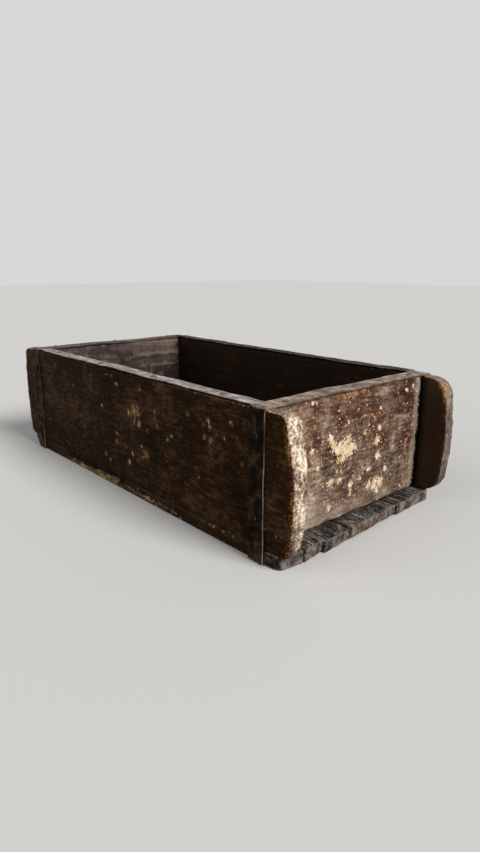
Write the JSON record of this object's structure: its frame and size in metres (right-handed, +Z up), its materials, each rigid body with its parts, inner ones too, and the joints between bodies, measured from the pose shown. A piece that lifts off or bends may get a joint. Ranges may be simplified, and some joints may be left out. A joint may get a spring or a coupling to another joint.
{
  "type": "brick mould",
  "caption": "Old wooden brick mould: an open box on base planks, its side boards running past the ends as rounded ears, bound with iron straps and rim strips.",
  "frame": {"origin": "on the ground, under the middle of the mould", "axes": "+X along the mould towards its right end, +Y from the front side board to the rear one, +Z up out of the open top"},
  "size_m": [0.314, 0.1518, 0.0849],
  "materials": {
    "side_wood": "hardwood blackened by oil and handling, worn to bare tan wood on the edges",
    "end_wood": "weathered brown hardwood with flaking pale limewash and rubbed orange spots",
    "plank_wood": "weathered, cracked grey-brown planks",
    "hoop_iron": "old hoop iron, dark with rust on the legs and rubbed grey on the rim",
    "nail_iron": "hand-made iron nails, dark and rusted"
  },
  "bodies": {
    "root": {"base_plank_front": "plank_wood", "base_plank_middle": "plank_wood", "base_plank_rear": "plank_wood", "front_side_board": "side_wood", "rear_side_board": "side_wood", "left_end_board": "end_wood", "right_end_board": "end_wood", "front_rim_strip": "hoop_iron", "rear_rim_strip": "hoop_iron", "left_end_strap": "hoop_iron", "right_end_strap": "hoop_iron", "left_strap_leg_nails": "nail_iron", "right_strap_leg_nails": "nail_iron", "left_strap_top_nails": "nail_iron", "right_strap_top_nails": "nail_iron", "front_rim_nails": "nail_iron", "rear_rim_nails": "nail_iron", "base_nails_front": "nail_iron", "base_nails_middle": "nail_iron", "base_nails_rear": "nail_iron"}
  },
  "joints": []
}
